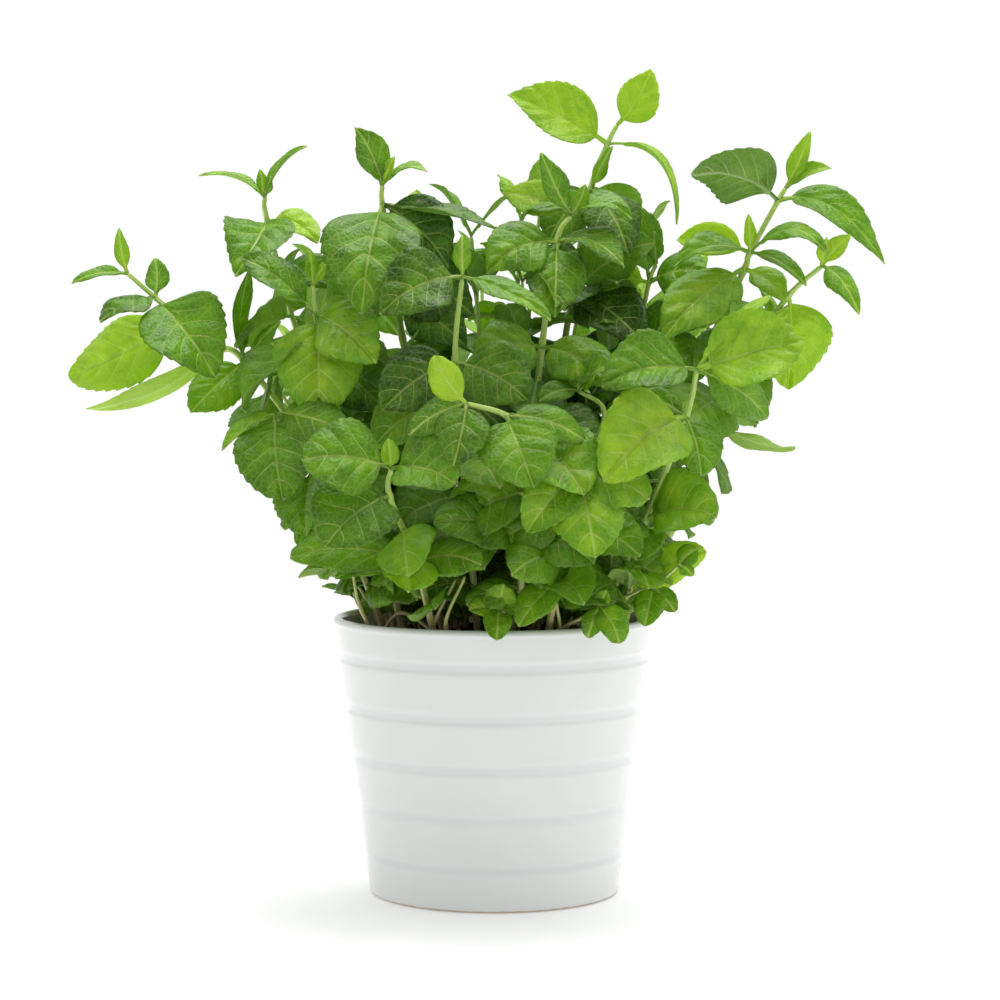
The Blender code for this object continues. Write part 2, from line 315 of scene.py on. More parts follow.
shoot("far_left", 4, [(-32, -2, 102), (-70, -10, 178), (-106, -20, 230), (-119, -18, 236),
    (-134, -22, 249), (-143, -28, 257), (-154, -32, 267)], [
    (5, (-115, -54, 225), 33, (2, -9, 3), (0, -3, 2), 0.4),
    (5, (-164, -46, 247), 20, (-3, -5, 8), (0, -1, 2), 0.25),
    (4, (-184, -8, 224), 28, (1, -9, 4), (0, -2, -3), 0.85),
    (2, (-127, -40, 209), 20, (3, -6, 7), (0, -2, 1), 0.6),
    (6, (-157, -34, 286), 7, (6, -7, 1), (-1, 0, 0), 0.7),
    (6, (-177, -37, 263), 8, (-1, -5, 7), (0, 0, 2), 0.5),
    (5, (-144, -20, 274), 10, (-2, -9, 1), (1, 0, 0), 0.4),
    (3, (-171, -40, 212), 11, (1, 6, 5), (3, 0, -6), 1.0),
    (2, (-102, -25, 270), 12, (7, -4, 1), (-4, 0, -1), 0.4),
    (2, (-90, -30, 247), 9, (-5, -6, 4), (0, -1, 1), 0.5),
])
shoot("upper_left", 2, [(-24, 14, 102), (-58, 8, 180), (-84, -2, 240), (-97, -10, 290),
    (-98, -11, 300)], [
    (3, (-107, -52, 266), 27, (0, -8, 5), (3, -5, 3), 0.42),
    (3, (-75, -16, 281), 20, (1, -5, 9), (1, 1, 3), 0.9),
    (4, (-100, -11, 312), 5, (3, -9, 1), (0, 0, 0), 0.6),
    (4, (-126, -12, 310), 8, (0, -2, 9), (2, 0, 3), 0.6),
    (4, (-80, -14, 322), 8, (-5, -3, 6), (-2, 0, 2), 0.5),
    (4, (-95, -12, 309), 5, (-6, -7, 1), (0, 0, 0), 0.6),
    (2, (-60, -30, 262), 22, (-1, -8, 5), (0, -2, 3), 0.6),
])
shoot("left_middle", 2, [(-36, -24, 102), (-52, -34, 172), (-68, -44, 218), (-74, -50, 250),
    (-75, -52, 262)], [
    (3, (-103, -62, 274), 24, (2, -6, 8), (0, -2, 2), 0.32),
    (3, (-48, -74, 230), 26, (0, -9, 3), (0, -3, 3), 0.6),
    (4, (-76, -54, 276), 6, (4, -8, 1), (0, 0, 0), 0.7),
    (4, (-69, -54, 272), 6, (-6, -6, 1), (0, 0, 0), 0.8),
    (3, (-72, -66, 205), 34, (1, -9, 3), (1, -5, 3), 0.65),
    (2, (-92, -50, 238), 13, (1, -6, 6), (0, 0, 2), 0.8),
])
shoot("left_tall", 3, [(-14, -2, 102), (-28, -10, 180), (-39, -20, 240), (-42, -26, 266),
    (-47, -30, 296), (-47, -31, 304)], [
    (4, (-54, -74, 250), 38, (-1, -9, 4), (0, -8, 5), 0.38),
    (4, (2, -36, 287), 20, (1, -2, 9), (0, 0, 1), 0.25),
    (5, (-58, -36, 328), 14, (3, -9, 3), (1, 0, 1), 0.4),
    (5, (-28, -33, 310), 9, (0, -3, 8), (0, 0, 4), 0.6),
    (5, (-42, -33, 316), 6, (-4, -8, 1), (0, 0, 0), 0.75),
    (5, (-52, -33, 318), 6, (4, -8, 1), (0, 0, 0), 0.6),
    (3, (-70, -34, 247), 28, (-1, -8, 4), (0, -2, 4), 0.45),
    (3, (-24, -10, 289), 17, (0, -9, 1), (2, 0, 1), 1.0),
    (4, (-18, -30, 270), 28, (0, -8, 5), (0, -2, 3), 0.1),
    (3, (-8, -24, 250), 30, (1, -8, 4), (0, -2, 3), 0.12),
])
shoot("centre_left", 1, [(-6, -28, 102), (-12, -50, 180), (-16, -62, 230), (-13, -68, 265)], [
    (3, (23, -88, 248), 17, (3, -5, 8), (0, -1, 2), 0.5),
    (3, (-46, -84, 250), 28, (0, -8, 4), (0, -2, 4), 0.2),
    (3, (-13, -64, 282), 7, (2, -9, 1), (0, 0, 0), 0.6),
    (2, (-45, -80, 211), 27, (0, -9, 4), (0, -3, 3), 0.12),
    (2, (14, -82, 215), 27, (0, -9, 3), (0, -3, 3), 0.3),
])
shoot("centre", 2, [(6, -10, 102), (14, -22, 180), (20, -32, 236), (26, -40, 280),
    (32, -38, 291)], [
    (3, (-3, -54, 267), 25, (0, -8, 5), (-1, -1, 4), 0.45),
    (3, (25, -62, 249), 23, (0, -9, 1), (0, -2, 1), 0.38),
    (4, (20, -42, 317), 11, (3, -8, 2), (-1, 0, 0), 0.4),
    (4, (38, -40, 304), 8, (-2, -8, 3), (1, 0, 0), 0.5),
    (4, (57, -48, 290), 17, (0, -4, 9), (0, 0, 5), 0.5),
    (3, (54, -58, 270), 20, (1, -5, 8), (0, -1, 5), 0.28),
    (4, (10, -24, 290), 18, (0, -4, 9), (0, 0, 6), 0.45),
    (4, (3, -12, 302), 15, (0, -9, 2), (0, 0, 2), 0.75),
    (2, (48, -60, 222), 24, (1, -8, 4), (0, -2, 3), 0.5),
    (2, (-8, -52, 230), 25, (0, -8, 4), (0, -2, 3), 0.55),
])
shoot("tall_back", 3, [(17, 14, 102), (24, 14, 190), (34, 12, 260), (42, 11, 305), (49, 10, 324),
    (53, 10, 332)], [
    (4, (6, 2, 345), 26, (-1, -8, 5), (1, -1, 1), 0.8),
    (5, (67, 6, 356), 18, (-2, -9, 2), (2, 0, -1), 0.9),
    (4, (79, 2, 289), 13, (6, -2, 7), (7, 0, 10), 0.75),
    (2, (68, -4, 282), 24, (2, -8, 4), (0, -2, 3), 0.45),
    (2, (8, 30, 278), 28, (-1, 4, 8), (0, 2, 3), 0.6),
    (3, (64, 34, 290), 20, (2, 6, 6), (0, 0, 3), 0.5),
    (3, (50, -4, 322), 7, (-2, -8, 4), (0, 0, 0), 0.6),
    (2, (64, -16, 238), 28, (1, -8, 4), (0, -2, 3), 0.03),
    (2, (30, -14, 252), 26, (-1, -8, 4), (0, -2, 3), 0.12),
    (3, (58, -14, 276), 24, (1, -7, 5), (0, -2, 3), 0.2),
    (3, (22, 0, 280), 24, (-1, -7, 5), (0, -2, 3), 0.35),
])
shoot("right_top", 4, [(38, 2, 102), (68, -6, 185), (92, -12, 238), (106, -20, 269),
    (108, -24, 276), (120, -22, 298), (123, -22, 303)], [
    (5, (82, -36, 309), 28, (0, 7, 6), (2, -2, 4), 0.2),
    (5, (165, -34, 272), 18, (2, -7, 6), (-1, -2, 10), 0.45),
    (4, (138, -44, 276), 15, (1, -5, 8), (1, -2, 9), 0.5),
    (3, (69, -46, 240), 28, (-2, -8, 5), (0, -2, 3), 0.62),
    (6, (133, -24, 327), 8, (-4, -8, 1), (1, 0, 0), 0.8),
    (6, (142, -27, 312), 8, (-1, -6, 6), (0, 0, 2), 0.6),
    (4, (107, -28, 292), 6, (4, -8, 1), (0, 0, 0), 0.9),
    (4, (75, -34, 271), 17, (0, -4, 8), (0, -1, 5), 0.5),
    (4, (78, -8, 282), 14, (0, -8, 2), (0, 0, 2), 1.0),
    (4, (130, -44, 262), 10, (1, -5, 8), (0, 0, 3), 0.5),
    (3, (122, -36, 255), 13, (2, -8, 3), (1, 0, 2), 0.7),
    (2, (62, -34, 218), 26, (-1, -8, 3), (0, -2, 3), 0.4),
    (2, (114, -44, 212), 22, (1, -8, 3), (0, -2, 3), 0.45),
])
shoot("right_tip", 2, [(46, -18, 102), (76, -22, 172), (94, -23, 204), (108, -24, 234),
    (124, -30, 258), (137, -36, 270)], [
    (4, (125, -18, 218), 30, (1, -9, 1), (1, -1, 3), 0.85),
    (5, (152, -46, 250), 13, (4, -8, 4), (0, -1, 4), 0.5),
    (5, (149, -38, 283), 8, (-2, -8, 3), (0, 0, 1), 0.85),
    (5, (139, -38, 282), 6, (2, -8, 2), (0, 0, 0), 0.9),
    (2, (127, -30, 193), 16, (1, 2, -9), (0, 0, -3), 0.8),
    (3, (84, -50, 226), 22, (-1, -7, 5), (0, -1, 3), 0.4),
])
shoot("right_front", 4, [(34, -36, 102), (62, -60, 165), (78, -74, 208), (82, -80, 227)], [
    (3, (43, -92, 221), 26, (0, -8, 6), (0, -2, 4), 0.38),
    (3, (125, -78, 239), 30, (1, -9, 4), (0, -2, 1), 0.75),
    (2, (83, -92, 185), 20, (1, -9, 2), (1, -1, 1), 0.4),
    (2, (44, -106, 184), 33, (0, -9, 3), (0, -2, 5), 0.78),
    (3, (112, -70, 258), 14, (-6, -3, 5), (0, 0, 3), 0.75),
    (3, (114, -62, 207), 19, (1, -8, 3), (1, -1, 2), 0.45),
    (2, (60, -70, 218), 11, (1, -8, 4), (0, 0, 1), 0.3),
    (1, (90, -80, 168), 26, (0, -8, 4), (0, -2, 4), 0.6),
    (1, (36, -88, 156), 24, (0, -8, 4), (0, -2, 4), 0.45),
])
shoot("front_right", 1, [(20, -44, 102), (26, -66, 140), (34, -94, 185)], [
    (2, (40, -114, 154), 27, (0, -9, 2), (0, -2, 2), 0.6),
    (2, (62, -98, 176), 25, (0, -7, 6), (0, -2, 3), 0.6),
    (2, (13, -104, 163), 20, (0, -9, 3), (0, -2, 3), 0.55),
    (2, (37, -96, 196), 7, (2, -8, 2), (0, 0, 0), 0.9),
    (2, (44, -97, 191), 7, (-3, -8, 2), (0, 0, 1), 0.85),
    (1, (36, -92, 134), 20, (0, -8, 5), (0, -1, 3), 0.45),
    (1, (10, -84, 124), 14, (0, -8, 5), (0, -1, 2), 0.5),
])
shoot("front_centre", 2, [(7, -46, 102), (13, -70, 160), (15, -86, 196), (5, -96, 209),
    (-11, -100, 214)], [
    (3, (16, -112, 182), 30, (1, -9, 3), (-1, -2, 2), 0.45),
    (4, (-16, -112, 190), 20, (0, -9, 3), (1, -2, 2), 0.28),
    (4, (-23, -104, 233), 13, (2, -8, 2), (-2, 0, 0), 1.0),
    (4, (-34, -104, 202), 14, (0, -7, 5), (0, 0, 2), 0.35),
    (3, (37, -96, 199), 15, (0, -7, 5), (0, -1, 3), 0.4),
    (1, (-24, -92, 166), 22, (0, -8, 4), (0, -2, 3), 0.3),
    (1, (40, -92, 150), 20, (0, -8, 4), (0, -2, 3), 0.35),
])
shoot("front_left", 3, [(-22, -42, 102), (-32, -68, 148), (-42, -90, 177), (-41, -98, 188)], [
    (3, (-76, -106, 192), 31, (0, -8, 5), (0, -2, 3), 0.42),
    (3, (-15, -112, 183), 26, (0, -8, 6), (0, -2, 3), 0.4),
    (2, (-67, -108, 158), 34, (-1, -8, 5), (0, -3, 3), 0.3),
    (3, (-42, -102, 200), 7, (1, -8, 2), (0, 0, 0), 0.8),
    (1, (-82, -88, 153), 21, (0, -7, 5), (0, -1, 4), 0.42),
    (1, (-64, -86, 144), 11, (0, -6, 6), (0, 0, 2), 0.35),
    (1, (-34, -102, 140), 21, (0, -9, 4), (0, -2, 3), 0.7),
    (1, (-6, -96, 150), 18, (0, -8, 4), (0, -2, 3), 0.38),
])
shoot("left_low", 1, [(-42, -12, 102), (-66, -36, 165), (-90, -60, 209)], [
    (2, (-86, -80, 175), 31, (-1, -9, 2), (-1, -2, 2), 0.32),
    (2, (-112, -62, 194), 13, (-4, -3, 7), (0, 0, 2), 0.6),
    (2, (-60, -76, 202), 20, (0, -8, 4), (0, -2, 2), 0.4),
    (1, (-80, -50, 152), 20, (-1, -7, 5), (0, -1, 3), 0.4),
    (1, (-40, -62, 158), 24, (0, -8, 4), (0, -2, 3), 0.25),
])
shoot("back_left", 3, [(-26, 34, 102), (-50, 62, 170), (-66, 78, 228), (-70, 82, 262)], [
    (3, (-104, 86, 250), 28, (-1, 5, 8), (0, 2, 6), 0.5),
    (3, (-44, 104, 242), 30, (1, 8, 5), (0, 3, 4), 0.45),
    (1, (-62, 108, 152), 32, (0, 9, 3), (0, 4, 4), 0.4),
    (3, (-74, 86, 276), 8, (1, 8, 2), (0, 0, 0), 0.8),
    (3, (-66, 84, 274), 8, (-2, -8, 2), (0, 0, 0), 0.7),
    (2, (-102, 96, 214), 30, (-2, 8, 4), (0, 2, 4), 0.6),
    (2, (-30, 100, 206), 30, (1, 9, 3), (0, 3, 4), 0.4),
    (1, (-84, 74, 158), 24, (-2, 7, 5), (0, 1, 4), 0.5),
])
shoot("back_right", 3, [(18, 38, 102), (40, 68, 170), (60, 88, 226), (66, 92, 254)], [
    (3, (100, 100, 240), 30, (1, 6, 7), (0, 2, 6), 0.5),
    (3, (40, 116, 232), 29, (0, 8, 5), (0, 3, 4), 0.6),
    (1, (56, 116, 150), 32, (0, 9, 3), (0, 4, 4), 0.45),
    (3, (68, 96, 268), 8, (1, 8, 2), (0, 0, 0), 0.8),
    (3, (62, 92, 267), 8, (-2, -8, 2), (0, 0, 0), 0.7),
    (2, (92, 112, 204), 28, (2, 8, 4), (0, 3, 4), 0.55),
    (2, (28, 118, 196), 30, (-1, 9, 3), (0, 3, 4), 0.4),
    (1, (80, 82, 144), 24, (2, 6, 5), (0, 1, 4), 0.5),
])
# Shoots that stand between these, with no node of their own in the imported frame
shoot("right_middle", 0, [(28, 6, 102), (48, 8, 180), (62, 8, 240), (67, 6, 264), (70, 5, 272)], [
    (3, (54, 6, 300), 18, (2, -8, 2), (2, 0, 2), 0.45),
    (4, (69, 2, 286), 7, (-1, -8, 2), (0, 0, 0), 0.45),
    (3, (40, 14, 268), 15, (0, -9, 1), (0, 0, 1), 1.0),
    (2, (36, -6, 256), 19, (1, -5, 8), (0, 0, 3), 0.15),
    (2, (88, -8, 246), 22, (0, -7, 5), (0, 0, 3), 0.2),
    (1, (26, -14, 208), 26, (0, -8, 4), (0, -2, 3), 0.5),
    (3, (92, -6, 268), 26, (1, -7, 5), (0, -2, 3), 0.35),
    (2, (42, -12, 216), 28, (-1, -8, 4), (0, -2, 3), 0.08),
])
shoot("centre_low", 0, [(12, -30, 102), (26, -46, 160), (42, -54, 196), (45, -54, 211),
    (35, -54, 218)], [
    (4, (18, -60, 214), 11, (0, -6, 6), (0, 0, 2), 0.4),
    (4, (47, -62, 229), 13, (-1, -6, 6), (0, 0, 2), 0.5),
    (4, (34, -60, 230), 8, (0, -8, 3), (0, 0, 0), 0.6),
    (2, (66, -70, 190), 18, (0, -7, 5), (0, -1, 3), 0.4),
])
shoot("right_low", 0, [(42, -26, 102), (56, -46, 134), (62, -54, 162)], [
    (2, (88, -58, 184), 17, (0, -8, 3), (0, -1, 2), 0.2),
    (2, (88, -50, 174), 13, (2, -7, 4), (0, 0, 3), 0.55),
    (1, (88, -50, 152), 16, (2, -7, 4), (0, 0, 3), 1.0),
    (1, (56, -74, 146), 17, (0, -7, 5), (0, -1, 3), 0.5),
    (2, (58, -76, 150), 19, (0, -8, 4), (0, -1, 2), 0.5),
])
shoot("rim_right", 0, [(44, -28, 104), (51, -37, 119), (66, -52, 136), (76, -58, 146)], [
    (2, (62, -66, 122), 12, (0, -8, 3), (0, -1, 1), 0.5),
    (2, (75, -58, 127), 9, (1, -8, 3), (0, 0, 1), 0.4),
    (3, (84, -58, 153), 9, (0, -7, 5), (0, 0, 1), 0.5),
    (3, (82, -60, 142), 6, (1, -8, 3), (0, 0, 1), 0.6),
    (1, (50, -66, 130), 11, (0, -7, 5), (0, 0, 1), 0.5),
])
shoot("rim_front", 0, [(32, -42, 104), (37, -50, 121), (42, -64, 128), (43, -69, 130)], [
    (3, (51, -79, 116), 12, (1, -9, 2), (1, -2, 1), 0.5),
    (3, (38, -77, 118), 9, (-1, -9, 2), (0, -2, 1), 0.4),
    (3, (46, -72, 137), 6, (0, -8, 3), (0, 0, 0), 0.6),
])
shoot("rim_middle", 0, [(0, -46, 104), (-1, -58, 119), (2, -64, 128)], [
    (2, (-10, -70, 129), 10, (0, -7, 5), (0, 0, 1), 0.5),
    (2, (17, -68, 131), 9, (0, -7, 5), (0, 0, 1), 0.55),
    (2, (1, -75, 117), 11, (0, -9, 3), (0, -1, 1), 0.5),
    (2, (4, -68, 139), 12, (0, -8, 3), (0, 0, 1), 0.6),
])

STEM_STEPS = 12


def route_through(nodes):
    """Points along a Catmull-Rom curve through the nodes, STEM_STEPS to each stretch."""
    points = np.array(nodes, float)
    ends = np.concatenate([[2 * points[0] - points[1]], points, [2 * points[-1] - points[-2]]])
    before, start, end, after = (ends[i:len(ends) - 3 + i, None] for i in range(4))
    t = (np.arange(STEM_STEPS) / STEM_STEPS)[None, :, None]
    curve = 0.5 * (2 * start + (end - before) * t
                   + (2 * before - 5 * start + 4 * end - after) * t ** 2
                   + (3 * start - before - 3 * end + after) * t ** 3)
    return np.concatenate([curve.reshape(-1, 3), points[-1:]])


def unit(vectors):
    """Each vector over its own length."""
    return vectors / np.linalg.norm(vectors, axis=-1, keepdims=True)


def over_rim(tip):
    """Lifts a leaf's tip that would hang into the pot's wall or the compost: to 11 mm above
    the rim near the wall, and to 5 mm above the compost nearer the middle."""
    tip[2] = max(tip[2], 131 if np.hypot(tip[0], tip[1]) > 50 else 118)
    return tip


NODE_GAP = 26


def bushy_shoot(foot, top, quarter, reach, shade_and_age):
    """Nodes and leaves of an upright shoot by rule. The stem rises from the foot to the
    top on a curve that leans outwards late: the share of the sideways way is height ** 1.6.
    Each node's two leaves point opposite ways, at right angles to the pair below. Leaves
    are longest two thirds of the way up, and droop below and rise at the top."""
    foot, top = np.array(foot, float), np.array(top, float)
    joints = max(3, int(round((top[2] - foot[2]) / NODE_GAP)))
    rise = np.linspace(0, 1, joints + 1)[:, None]
    nodes = foot + (top - foot) * np.concatenate([rise ** 1.6, rise ** 1.6, rise], axis=1)
    leaves = []
    for joint in range(1, joints + 1):
        share = joint / joints
        long = reach * (0.55 + 0.45 * np.sin(np.pi * min(share / 0.66, 1) / 2)
                        - 0.42 * max(share - 0.66, 0) / 0.34)
        lift = np.radians(-34 + 50 * share + 38 * max(share - 0.7, 0) / 0.3)
        for side in (0, 1):
            turn = quarter + 90 * joint + 180 * side + 23 * np.sin(5.1 * joint + quarter)
            turn = np.radians(turn)
            out = np.array([np.cos(turn), np.sin(turn), 0])
            lean = lift + 0.22 * np.sin(3.7 * joint + 2.1 * side + quarter)
            tip = over_rim(nodes[joint] + long * (out * np.cos(lean) + (0, 0, np.sin(lean))))
            face = np.array([0, 0, 1.0]) - out * np.sin(lean) * 0.8 + out * 0.25
            # Painted light: the tone rises up the shoot, so higher leaves are drawn lighter, as
            # well as younger
            light = shade_and_age * (0.55 + 0.75 * share) + 0.14 * np.sin(9.3 * joint + 4 * side)
            leaves.append((joint, tuple(tip), long * (0.52 + 0.12 * np.sin(7 * joint + side)),
                           tuple(face), (0, 0, 0.09 * long), np.clip(light, 0, 1)))
    return [tuple(node) for node in nodes], [], leaves


def outline(height):
    """How far left and right of the middle the bush reaches at a height, in mm."""
    levels = (105, 130, 150, 170, 200, 230, 250, 262, 285)
    left = (-56, -64, -76, -80, -102, -112, -108, -96, -60)
    right = (58, 68, 84, 95, 104, 118, 120, 112, 72)
    return np.interp(height, levels, left), np.interp(height, levels, right)


PAIR_GAP = 21
BUSH_DEPTH = 108


def pairs_between(nodes, taken, first, turn):
    """Leaf pairs, PAIR_GAP apart, for the stretches of a stem that have none. Their length
    grows from 17 mm at the compost to 41 mm at 190 mm, and falls to 24 mm at 285 mm.
    They hang, and their upper faces look out from the middle of the bush."""
    route = route_through(nodes)
    walked = np.concatenate([[0], np.cumsum(np.linalg.norm(np.diff(route, axis=0), axis=1))])
    used = [walked[joint * STEM_STEPS] for joint in taken]
    rows = []
    for turned, place in enumerate(np.arange(first, walked[-1] - 8, float(PAIR_GAP))):
        at = int(np.argmin(np.abs(walked - place)))
        node = route[at]
        long = np.interp(node[2], (105, 130, 190, 240, 285), (17, 26, 41, 38, 24))
        if any(abs(place - walk) < 9 for walk in used) or node[2] > 285:
            continue
        out = unit(np.array([node[0], node[1], 0]) + (0, 0.01, 0))
        for side in (0, 1):
            draw = np.random.default_rng(int(turn * 100 + turned * 2 + side))
            heading = turn + np.pi / 2 * turned + np.pi * side + draw.uniform(-0.35, 0.35)
            lean = np.interp(node[2], (105, 200, 285), (-0.15, -0.6, -0.25))
            lean = lean + draw.uniform(-0.25, 0.3)
            size = long * draw.uniform(0.85, 1.15)
            way = np.array([np.cos(heading), np.sin(heading), 0])
            tip = node + size * (way * np.cos(lean) + (0, 0, np.sin(lean)))
            low, high = outline(tip[2])
            tip[0] = np.clip(tip[0], low, high)
            tip[1] = np.clip(tip[1], -BUSH_DEPTH, BUSH_DEPTH)
            tip = over_rim(tip)
            face = 0.75 * out + (0, 0, 0.6) + draw.uniform(-0.25, 0.25, 3)
            # Painted shade: the tone falls towards the middle of the bush, so inner leaves are
            # drawn darker
            deep = np.hypot(tip[0], tip[1]) / 110
            width = size * draw.uniform(0.62, 0.76)
            shade_and_age = float(np.clip(0.05 + 0.4 * deep + draw.uniform(-0.08, 0.14), 0, 1))
            rows.append((at / STEM_STEPS, tuple(tip), width, tuple(face), (0, 0, 0.08 * size),
                         shade_and_age))
    return rows


# The rest of the bush: foot and top in mm, what the leaves' headings are counted from in
# degrees, the length of the longest leaf, and the tone, which paints shade and light on its
# leaves
BUSHY = {
    "inner_left": ((-18, 4, 104), (-66, 6, 236), 20, 40, 0.35),
    "inner_middle": ((0, 4, 104), (-10, 0, 284), 60, 50, 0.3),
    "inner_left_tall": ((-12, 14, 104), (-36, 12, 274), 35, 42, 0.3),
    "inner_right_tall": ((24, 8, 104), (62, 18, 278), 65, 46, 0.3),
    "inner_right": ((14, -6, 104), (50, 0, 232), 10, 40, 0.35),
    "inner_front": ((2, -22, 104), (-22, -36, 190), 45, 36, 0.4),
    "inner_front_right": ((16, -24, 104), (50, -32, 184), 80, 36, 0.45),
    "inner_front_left": ((-20, -22, 104), (-52, -36, 176), 0, 36, 0.4),
    "inner_back": ((6, 14, 104), (20, 24, 296), 20, 42, 0.45),
    "left_side": ((-42, 10, 104), (-94, 22, 216), 50, 42, 0.5),
    "left_back": ((-32, 22, 104), (-76, 40, 264), 15, 42, 0.5),
    "left_far_back": ((-34, 30, 104), (-88, 62, 226), 70, 42, 0.55),
    "right_side": ((44, 10, 104), (96, 22, 216), 35, 42, 0.55),
    "right_back": ((30, 22, 104), (88, 40, 262), 70, 42, 0.55),
    "right_far_back": ((34, 28, 104), (90, 66, 222), 25, 42, 0.55),
    "back_middle": ((-2, 34, 104), (-6, 66, 266), 30, 44, 0.55),
    "back_inner": ((4, 20, 104), (12, 40, 292), 75, 42, 0.5),
    "back_inner_left": ((-14, 24, 104), (-34, 42, 284), 5, 42, 0.5),
    "back_inner_right": ((20, 26, 104), (44, 44, 286), 50, 42, 0.55),
    "back_low_left": ((-14, 46, 104), (-38, 84, 200), 10, 42, 0.5),
    "back_low_right": ((14, 48, 104), (22, 88, 206), 55, 42, 0.5),
    "back_far_left": ((-24, 42, 104), (-66, 80, 190), 45, 40, 0.5),
    "back_far_right": ((26, 42, 104), (62, 82, 188), 85, 40, 0.5),
    "low_left": ((-46, -10, 104), (-70, -24, 150), 25, 26, 0.5),
    "low_right": ((50, -8, 104), (74, -16, 152), 65, 26, 0.6),
    "low_left_back": ((-48, 14, 104), (-76, 24, 154), 80, 28, 0.5),
    "low_right_back": ((48, 14, 104), (76, 22, 156), 10, 28, 0.5),
    "low_back_left": ((-36, 38, 104), (-54, 56, 150), 40, 28, 0.5),
    "low_back_right": ((38, 36, 104), (56, 56, 152), 5, 28, 0.5),
    "low_back": ((0, 52, 104), (0, 74, 146), 35, 28, 0.5),
    "inner_centre": ((10, 0, 104), (12, -6, 264), 5, 46, 0.15),
}
for name, plan in BUSHY.items():
    SHOOTS[name] = bushy_shoot(*plan)

# ---------------------------------------------------------------------------------------
# The stems: mint's are square with rounded corners, tough at the foot and juicy at the
# tip. They swell a little at each node, and their skin is ridged and finely haired.

STEM_RADIUS = 1.5
FILLER_RADIUS = 1.25
TWIG_RADIUS = 0.95
BARE_RADIUS = 0.85
STEM_TIP_SHARE = 0.6
STEM_SPOKES = 16


def stem_surface(nodes, thickness):
    """The square section carried along the curve: its radius at an angle is
    r * (1 + 0.13 * cos(4 * angle)), with r falling to STEM_TIP_SHARE at the tip and
    growing by 30% close to each node."""
    route = route_through(nodes)
    way = unit(np.gradient(route, axis=0))
    side = unit(np.cross(way, (0.31, 0.93, 0.2)))
    across = np.cross(side, way)
    share = np.linspace(0, 1, len(route))
    place = np.linspace(0, len(nodes) - 1, len(route))
    swell = np.exp(-((place - np.round(place)) / 0.07) ** 2) * (np.round(place) > 0)
    size = thickness * (1 + (STEM_TIP_SHARE - 1) * share) * (1 + 0.3 * swell)
    size[-1] *= 0.5
    angle = np.linspace(0, 2 * np.pi, STEM_SPOKES, endpoint=False)
    section = size[:, None] * (1 + 0.13 * np.cos(4 * angle))
    rings = (route[:, None] + side[:, None] * (section * np.cos(angle))[..., None]
             + across[:, None] * (section * np.sin(angle))[..., None])
    caps = [np.repeat(end[None, None], STEM_SPOKES, axis=1) for end in (route[0], route[-1])]
    return np.concatenate([caps[0], rings, caps[1]])[::-1] * MM


def mint_stem():
    """Live mint stem: a waxy green skin over pale pith, so light soaks in a little. It is
    straw-brown by the soil, and long fibres show as faint lighter streaks."""
    made, tree, shader = new_material("mint stem")
    place = add(tree, "TexCoord").outputs["Object"]
    axes = add(tree, "SeparateXYZ", {0: place})
    height = add(tree, "MapRange", {
        "Value": axes.outputs["Z"], "From Min": 0.112, "From Max": 0.165,
    }, interpolation_type="SMOOTHSTEP")
    # Streaks 0.5 mm wide and 20 mm long, and brown flecks of a few millimetres
    drawn = add(tree, "Mapping", {0: place, 3: (1, 1, 0.03)})
    fibre = add(tree, "TexNoise", {"Vector": drawn, "Scale": 1900, "Detail": 2})
    fleck = add(tree, "TexNoise", {"Vector": place, "Scale": 260, "Detail": 3})
    green = add(tree, "Mix", {
        0: fibre, 6: linear("8FB43C"), 7: linear("C8DC7C"),
    }, data_type="RGBA")
    straw = add(tree, "Mix", {
        0: fleck, 6: linear("C9BE8C"), 7: linear("8F7B4A"),
    }, data_type="RGBA")
    colour = add(tree, "Mix", {0: height, 6: straw, 7: green}, data_type="RGBA")
    tree.links.new(colour.outputs[2], shader.inputs["Base Color"])
    shader.inputs["Roughness"].default_value = 0.45
    shader.inputs["Subsurface Weight"].default_value = 0.25
    shader.inputs["Subsurface Radius"].default_value = (0.9, 1.0, 0.3)
    shader.inputs["Subsurface Scale"].default_value = 0.0012
    shader.inputs["Sheen Weight"].default_value = 0.12
    bump = add(tree, "Bump", {"Height": fibre, "Strength": 0.5, "Distance": 0.0002})
    tree.links.new(bump.outputs[0], shader.inputs["Normal"])
    return made


skin = mint_stem()
for turned, (name, (nodes, packed, more)) in enumerate(SHOOTS.items()):
    if name not in BUSHY and not name.startswith("rim"):
        taken = [row[0] for row in packed + more]
        more.extend(pairs_between(nodes, taken, 30 + 5 * (turned % 3), 0.9 * turned))
    own_node = f"stem_{name}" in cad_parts
    thickness = STEM_RADIUS if own_node else FILLER_RADIUS
    if name.startswith(("rim", "low")):
        thickness = TWIG_RADIUS
    stem = closed_surface(f"shoot_{name}_stem", stem_surface(nodes, thickness), skin)
    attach(stem, "root")
    if own_node:
        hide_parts(f"stem_{name}")

